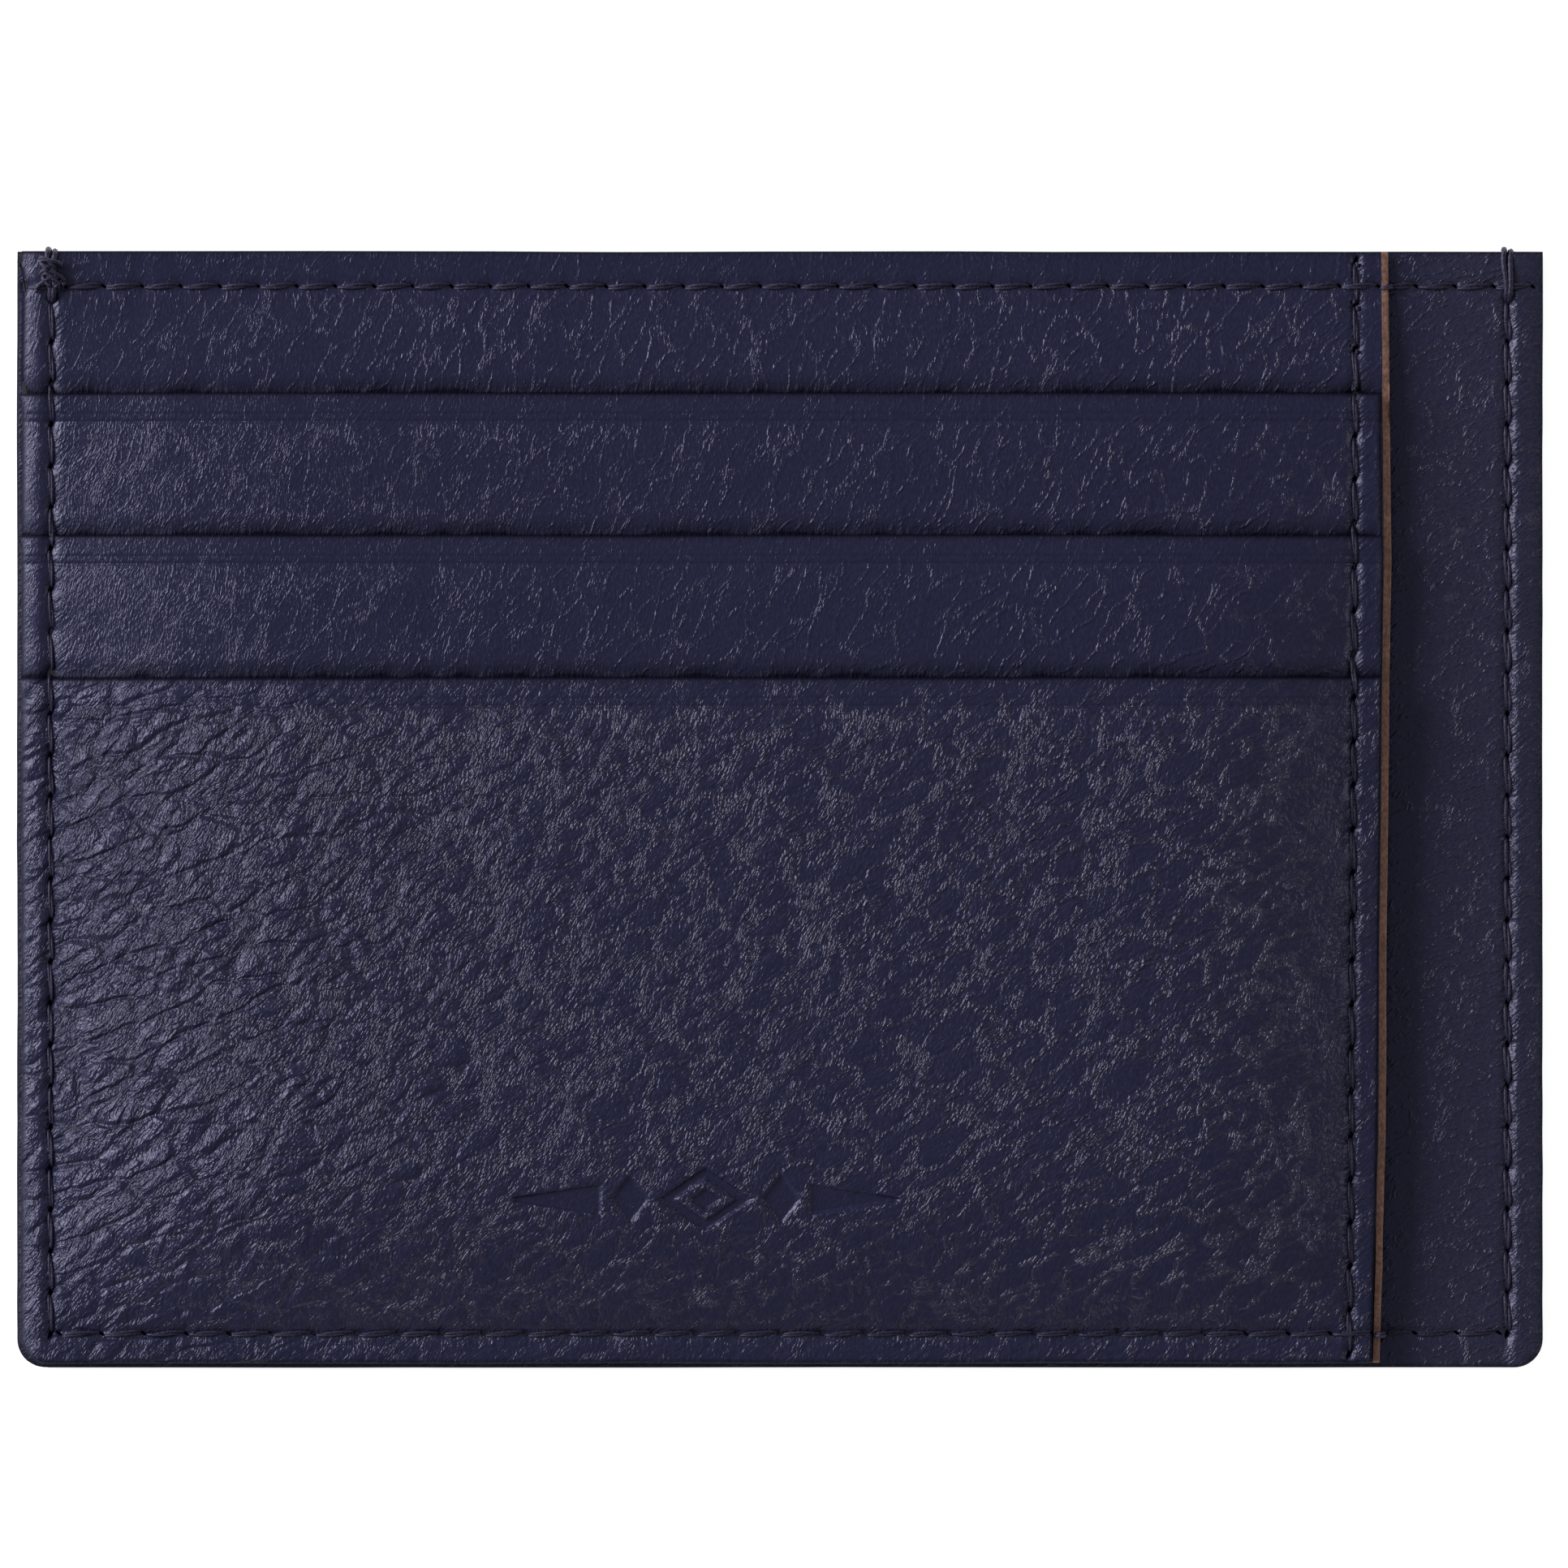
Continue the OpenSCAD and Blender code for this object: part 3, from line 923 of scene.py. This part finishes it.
# Zones of fine mesh: from, to and the step between grid lines.
STACK_TOP_X, STACK_SEAM_X = stack_right(BASE_HIGH[1]), front_seam_x(BASE_HIGH[1])
SEAM_ZONES_X = [(-SEAM_X - 0.5, -SEAM_X + 0.5, 0.13), (STACK_SEAM_X - 0.9, STACK_SEAM_X + 0.5, 0.13),
                (STACK_TOP_X - 0.9, STACK_TOP_X, 0.1)]


def lip_zone(slot):
    return (MOUTHS[slot] - 2.4, MOUTHS[slot] - 1.2, 0.09)


def make_front_pocket():
    """The big front panel, with the mouth of the lowest slot and the ornament."""
    seams = [LEFT_SEAM, BOTTOM_SEAM, FRONT_SEAM]
    at, half_w, half_h = ORNAMENT_AT, ORNAMENT_W / 2, ORNAMENT_H / 2
    piece = panel(
        "front_pocket_leather", SLOT_LOW[2][0], RAW_EDGE, SLOT_LOW[2][1], MOUTHS[2], slot_top(2),
        slot_thickness(2), front_relief, front_calm, seams, step=0.28,
        radii=(ROLL_R, CUT_R, EDGE_R, 0.3), seed=101, corner=True,
        zones_x=[(at[0] - half_w - 0.4, at[0] + half_w + 0.4, 0.17)] + SEAM_ZONES_X,
        zones_y=[(at[1] - half_h - 0.3, at[1] + half_h + 0.3, 0.13), lip_zone(2),
                 (-SEAM_Y - 0.4, -SEAM_Y + 0.4, 0.13)])
    finish_leather(piece, "front_leather", FRONT_HIDE, seams, "front_pocket")


def make_slot(slot):
    """The visible leather of an upper slot, which carries on a little way under the next mouth."""
    seams = [LEFT_SEAM, FRONT_SEAM]
    next_mouth = MOUTHS[slot + 1]
    piece = panel(
        f"card_slot_{slot + 1}_leather", SLOT_LOW[slot][0], RAW_EDGE, SLOT_LOW[slot][1], MOUTHS[slot],
        slot_top(slot), slot_thickness(slot), slot_relief(slot), slot_calm(slot), seams, step=0.3,
        radii=(ROLL_R, CUT_R, 0.2, 0.24), seed=111 + 10 * slot, zones_x=SEAM_ZONES_X,
        zones_y=[(next_mouth - 0.2, next_mouth + 0.8, 0.1), (next_mouth - 1.5, MOUTHS[slot], 0.24),
                 lip_zone(slot)],
        shaded=lambda x, y: mouth_shade(slot + 1, x, y))
    finish_leather(piece, f"slot_{slot + 1}_leather", SLOT_HIDES[slot], seams, f"card_slot_{slot + 1}")


def lining_thickness(slot):
    return LINING_HIGH[slot][2] - LINING_LOW[slot][2]


def lining_top(slot):
    under, thick = slot_bottom(slot), lining_thickness(slot)
    return lambda x, y: under(x, y) + thick


def make_lining(slot):
    """The woven lining below an upper slot's strip."""
    low, high = LINING_LOW[slot], LINING_HIGH[slot]
    piece = panel(
        f"card_slot_{slot + 1}_lining_cloth", low[0] + 0.3, RAW_EDGE + 0.4, low[1], high[1],
        lining_top(slot), flat(lining_thickness(slot)), nothing, nothing, [], step=1.2,
        radii=(0.1,) * 4, seed=141 + 10 * slot)
    finish_piece(piece, [LINING, LINING, LINING], f"card_slot_{slot + 1}_lining")


def make_base():
    """Base sheet of the front stack: the band above the slots, and the brown edge down the right."""
    seams = [LEFT_SEAM, TOP_SEAM, FRONT_SEAM, BOTTOM_SEAM]
    mouth = MOUTHS[0]
    piece = panel(
        "front_base_leather", BASE_LOW[0], 0.0, BASE_LOW[1], BASE_HIGH[1], base_top, base_thickness,
        base_relief, base_calm, seams, step=0.3, radii=(ROLL_R, CUT_R, EDGE_R, EDGE_R), seed=171,
        corner=True, zones_x=SEAM_ZONES_X,
        zones_y=[(mouth - 0.2, mouth + 0.8, 0.1), (mouth + 0.8, SEAM_Y - 0.4, 0.25),
                 (SEAM_Y - 0.4, SEAM_Y + 0.4, 0.13)],
        shaded=base_shade, cut_w=0.7 * RAW_EDGE)
    finish_leather(piece, "band_leather", BAND_HIDE, seams, "front_base")


def full_place(seed):
    """Places grid points of a panel that is as wide as the whole holder."""
    corners = [(BACK_LOW[0], BACK_LOW[1], -1), (BACK_HIGH[0], BACK_LOW[1], 1)]
    return lambda x, y: wavy(*rounded_corners(x, y, corners), seed, 0.04)


# Small spots on the strip where the finish is rubbed off: x, y, half width and half height.
SCUFFS = ((SEAM_X + 1.7, 20.4, 0.55, 0.35), (47.9, 19.6, 0.35, 0.15), (47.1, 14.9, 0.45, 0.2),
          (48.6, -7.5, 0.3, 0.12))


def strip_wear_and_light(x, y):
    """Painted light and wear on the strip: painted light that grows away from the stack, so the strip stays
    darker where the stack's shadow falls, and the scuffs.
    """
    spots = [np.exp(-(((x - at_x) / half_w) ** 4) - ((y - at_y) / half_h) ** 4)
             for at_x, at_y, half_w, half_h in SCUFFS]
    return 0.22 * soft((x - stack_right(y) - 0.5) / 4) + 0.9 * np.maximum.reduce(spots)


def make_inner():
    """Inner leather: the strip at the right, and the back wall of the side pocket."""
    seams = [RIGHT_SEAM, TOP_SEAM, BOTTOM_SEAM]
    radii = (EDGE_R,) * 4
    shown = stack_right(INNER_LOW[1]) - 3
    xs = spaced(INNER_LOW[0], INNER_HIGH[0], 0.9, radii[:2], [(shown, INNER_HIGH[0], 0.2)])
    ys = spaced(INNER_LOW[1], INNER_HIGH[1], 0.26, radii[2:])
    piece = sheet("inner_panel_leather", xs, ys, full_place(191), inner_top,
                  flat(INNER_HIGH[2] - INNER_LOW[2]), radii, INNER_HIDE.relief, nothing, seams,
                  wear_and_light=strip_wear_and_light)
    finish_leather(piece, "inner_leather", INNER_HIDE, seams, "inner_panel")


BACK_GRAIN = 0.05  # height of the back's grain side over the table


def back_thickness(x, y):
    """The hem all round is as high as the frame's, and the middle leaves room for the board."""
    in_recess = (np.abs(x) < BOARD_HIGH[0]) & (np.abs(y) < BOARD_HIGH[1])
    return np.where(in_recess, BOARD_LOW[2], BACK_HIGH[2] - BACK_LOW[2]) - BACK_GRAIN


def make_back():
    """Outer leather of the back, grain side down, with its edges turned up round the board."""
    seams = [LEFT_SEAM, RIGHT_SEAM, TOP_SEAM, BOTTOM_SEAM]
    radii = (0.5,) * 4
    xs = spaced(BACK_LOW[0], BACK_HIGH[0], 0.34, radii[:2])
    ys = spaced(BACK_LOW[1], BACK_HIGH[1], 0.34, radii[2:])
    piece = sheet("back_panel_leather", xs, ys, full_place(211), flat(BACK_GRAIN), back_thickness, radii,
                  lambda x, y: np.minimum(BACK_HIDE.relief(x, y), 0.04), nothing, seams, face_up=False)
    finish_leather(piece, "back_leather", BACK_HIDE, seams, "back_panel")


# ---- thread

STRAND_R = THREAD_W * 0.26
YARN_BULGE = 0.14  # how far the yarns stand out of a strand, as a share of its radius
DIVE = 0.42  # how far the ends of a stitch go down into its holes
SUNK = 0.12  # how far a row lies in the leather's own surface


def across_path(path):
    """Two unit vectors at right angles to a path at each of its points, the first one level."""
    step = np.gradient(path, axis=0)
    tangent = step / np.linalg.norm(step, axis=1)[:, None]
    whole = path[-1] - path[0]
    level = np.array([whole[1], -whole[0], 0.0])
    up = np.cross(tangent, level)
    up /= np.linalg.norm(up, axis=1)[:, None]
    return np.cross(up, tangent), up


def tube(path, radius, sides=8, ply=3, lay=0.5):
    """Vertices and faces of one closed strand, its fibres twisted, along points in millimetres."""
    path = np.array(path)
    level, up = across_path(path)
    travelled = np.concatenate([[0], np.cumsum(np.linalg.norm(np.diff(path, axis=0), axis=1))])
    turn = np.arange(sides) * 2 * np.pi / sides
    bulge = 1 + YARN_BULGE * np.cos(ply * turn[None, :] - 2 * np.pi * travelled[:, None] / lay)
    ring = np.cos(turn)[None, :, None] * level[:, None] + np.sin(turn)[None, :, None] * up[:, None]
    verts = path[:, None] + ring * (radius * bulge)[:, :, None]
    faces = []
    for i in range(len(path) - 1):
        for k in range(sides):
            m = (k + 1) % sides
            faces.append((i * sides + k, i * sides + m, (i + 1) * sides + m, (i + 1) * sides + k))
    faces.append(tuple(range(sides - 1, -1, -1)))
    faces.append(tuple(range((len(path) - 1) * sides, len(path) * sides)))
    return verts.reshape(-1, 3), faces


def strands(path, radius, apart, turns, phase):
    """Two strands laid round each other along a path. apart is half the distance between them."""
    path = np.array(path)
    level, up = across_path(path)
    t = np.linspace(-0.5, 0.5, len(path))
    apart = np.broadcast_to(apart, t.shape)
    tubes = []
    for start in (0, np.pi):
        angle = start + phase + 2 * np.pi * turns * t
        around = np.cos(angle)[:, None] * level + 0.7 * np.sin(angle)[:, None] * up
        tubes.append(tube(path + around * apart[:, None], radius))
    return tubes


def joined(name, tubes):
    """One object from all the strands of a row."""
    faces, base = [], 0
    for points, rings in tubes:
        faces += [tuple(base + k for k in ring) for ring in rings]
        base += len(points)
    return add_piece(name, np.concatenate([points for points, rings in tubes]), faces)


def height_at(surface, x, y):
    return float(surface(np.array(x), np.array(y)))


def top_height(x, y):
    """Height of the uppermost leather on the front."""
    if x > stack_right(y):
        return height_at(inner_top, x, y)
    if y > MOUTHS[0]:
        return height_at(base_top, x, y)
    slot = 2 if y < MOUTHS[2] else 1 if y < MOUTHS[1] else 0
    return height_at(slot_top(slot), x, y)


def front_face(x, y):
    return top_height(x, y) - SUNK


def back_face(x, y):
    """The rows on the back lie in the troughs that their seams pull into it."""
    return 0.3


def stack_under(x, y):
    return height_at(base_bottom, x, y) + SUNK


def stitch(seam, k, height, up, rng, proud, thick):
    """One stitch from hole k to the next, lying on the leather and diving into both holes."""
    a, b = seam.holes()[k], seam.holes()[k + 1]
    slant = 0.12 + rng.uniform(-0.03, 0.03)
    points = []
    for t in np.linspace(0, 1, 15):
        p = a + (b - a) * (0.05 + 0.90 * t) + seam.side * slant * (t - 0.5) * 2 * up
        arch = max(0.0, math.sin(math.pi * t)) ** 0.35
        z = height(p[0], p[1]) + up * (STRAND_R * proud * arch - DIVE * (1 - arch))
        points.append((p[0], p[1], z))
    radius = STRAND_R * thick
    return strands(points, radius, radius * 0.9, rng.uniform(0.35, 0.6), rng.uniform(-0.6, 0.6))


def make_row(name, node, front, seam, back, seed, proud=0.9, thick=1.0):
    """Both faces of a row of stitches. front and back give the heights of the two faces."""
    rng = np.random.RandomState(seed)
    tubes = []
    for k in range(seam.count):
        tubes += stitch(seam, k, front, 1, rng, proud, thick)
        tubes += stitch(seam, k, back, -1, rng, proud, thick)
    finish_piece(joined(name, tubes), [THREAD], node)


def make_lining_row(slot):
    """The hidden row that closes the foot of a slot's lining onto the base sheet."""
    node = f"lining_stitching_{slot + 1}"
    low, high = box_mm(node)
    half = THREAD_W / 2
    seam = Seam((low[0] + half, low[1] + half), (high[0] - half, low[1] + half), 3.1, 0, (0, 0))
    cloth = lining_top(slot)
    make_row(f"lining_row_{slot + 1}", node, lambda x, y: height_at(cloth, x, y), seam, stack_under,
             300 + slot)


WRAP_POINTS, TURN_POINTS = 14, 12  # of a wrap: up the front, and over the edge to the back
WRAP_BACK = 0.12  # height of its end at the back


def wrap_path(x0, edge):
    """From the top of a side seam up the front, over the top edge and down to the back."""
    start = SEAM_Y - 1.1
    points = []
    for t in np.linspace(0, 1, WRAP_POINTS):
        y = start + t * (edge - 0.35 - start)
        lift = 0.12 + 0.16 * math.sin(math.pi * t) - 0.5 * (1 - soft(t / 0.15))
        points.append((x0 + 0.06 * math.sin(5 * t), y, top_height(x0, y) + lift))
    top = points[-1][2]
    middle, half = (top + WRAP_BACK) / 2, (top - WRAP_BACK) / 2
    for a in np.linspace(0.1, 1, TURN_POINTS) * math.pi:
        points.append((x0, edge - 0.33 + 0.42 * math.sin(a), middle + half * math.cos(a)))
    return points


def knot(x0, edge):
    """A messy knot on a wrap: seven loops of thread, each a little further up than the last."""
    rng = np.random.RandomState(77)
    loops = []
    for k in range(7):
        wide, tall, tilt = rng.uniform(0.4, 0.95), rng.uniform(0.4, 1.1), rng.uniform(-0.9, 0.9)
        start, aside, length = rng.uniform(-0.5, 0.5), rng.uniform(-0.2, 0.25), rng.uniform(1.0, 1.6)
        loop = []
        for a in np.linspace(start, start + length, 22) * math.pi:
            y = SEAM_Y + 0.1 + 0.24 * k + tall * (0.5 * math.sin(a) + tilt * math.cos(a))
            y = min(y, edge - 0.25 - 0.03 * k)
            lift = 0.14 + 0.3 * abs(math.sin(a)) + 0.03 * k
            loop.append((x0 + aside + wide * math.cos(a), y, top_height(x0, y) + lift))
        loops.append(tube(loop, STRAND_R * 1.5))
    return loops


def make_wrap(name, side, node, knotted):
    """Two strands over the top edge at a side seam, with a knot where knotted says so."""
    x0, edge = side * SEAM_X, BACK_HIGH[1]
    apart = np.concatenate([np.linspace(0.10, 0.25, WRAP_POINTS), np.full(TURN_POINTS, 0.25)])
    tubes = strands(wrap_path(x0, edge), STRAND_R * 2.2, apart, 0.2, 0.1)
    if knotted:
        tubes += knot(x0, edge)
    finish_piece(joined(name, tubes), [THREAD], node)


# ---- build

make_back()
make_inner()
make_base()
for upper_slot in (0, 1):
    make_slot(upper_slot)
    make_lining(upper_slot)
    make_lining_row(upper_slot)
make_front_pocket()
# Each row's seam, the lower leather that it comes out of, its seed, and how proud and thick it is.
for row, seam_and_look in {"left": (LEFT_SEAM, back_face, 1, 0.9, 1.0),
                           "right": (RIGHT_SEAM, back_face, 2, 0.9, 1.5),
                           "top": (TOP_SEAM, back_face, 3, 1.7, 1.35),
                           "bottom": (BOTTOM_SEAM, back_face, 4, 1.2, 1.15),
                           "front": (FRONT_SEAM, stack_under, 5, 0.9, 1.0)}.items():
    make_row(f"{row}_row", f"stitching_{row}", front_face, *seam_and_look)
make_wrap("wrap_left", -1, "thread_wrap_left", True)
make_wrap("wrap_right", 1, "thread_wrap_right", False)
board_look = fibre_board()
for board_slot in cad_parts["back_stiffener"].material_slots:
    board_slot.material = board_look


# ---- floor, light and camera

def make_floor():
    """A white floor that glows a little, so that it stays white in the picture."""
    mesh = bpy.data.meshes.new("floor")
    mesh.from_pydata([(-3, -3, 0), (3, -3, 0), (3, 3, 0), (-3, 3, 0)], [], [(0, 1, 2, 3)])
    white = bpy.data.materials.new("floor_white")
    white.use_nodes = True
    for name, value in (("Base Color", (0.86, 0.86, 0.86, 1)), ("Roughness", 0.9),
                        ("Emission Color", (1, 1, 1, 1)), ("Emission Strength", 0.85)):
        white.node_tree.nodes["Principled BSDF"].inputs[name].default_value = value
    mesh.materials.append(white)
    add_object("floor", mesh)


def softbox(name, at, size, power):
    """A square area light in metres that points at the object."""
    light = bpy.data.lights.new(name, "AREA")
    light.size, light.energy = size, power
    lamp = add_object(name, light)
    lamp.location = at
    lamp.rotation_euler = Vector(at).to_track_quat("Z", "Y").to_euler()


def make_camera():
    """Straight above the front with a long lens, so that hardly any side shows."""
    view_w, aim = 0.1104, (0.0003, 0.0018)  # width of the view on the floor, and its middle
    lens, sensor = 400.0, 36.0  # millimetres, as on a real camera
    camera = bpy.data.cameras.new("camera")
    camera.lens, camera.sensor_width = lens, sensor
    camera.clip_end = 20
    holder = add_object("camera", camera)
    holder.location = (*aim, view_w * lens / sensor)
    bpy.context.scene.camera = holder


def make_world():
    """Even, weak white light from all round."""
    world = bpy.data.worlds.new("studio")
    world.use_nodes = True
    background = world.node_tree.nodes["Background"].inputs
    background[0].default_value = (1, 1, 1, 1)
    background[1].default_value = 0.18
    bpy.context.scene.world = world


make_floor()
softbox("key_left", (-1.15, 0.42, 0.54), 0.8, 17)
softbox("fill_right", (1.3, 0.1, 0.56), 0.6, 1.6)
make_camera()
make_world()
bpy.context.scene.view_settings.view_transform = "Standard"
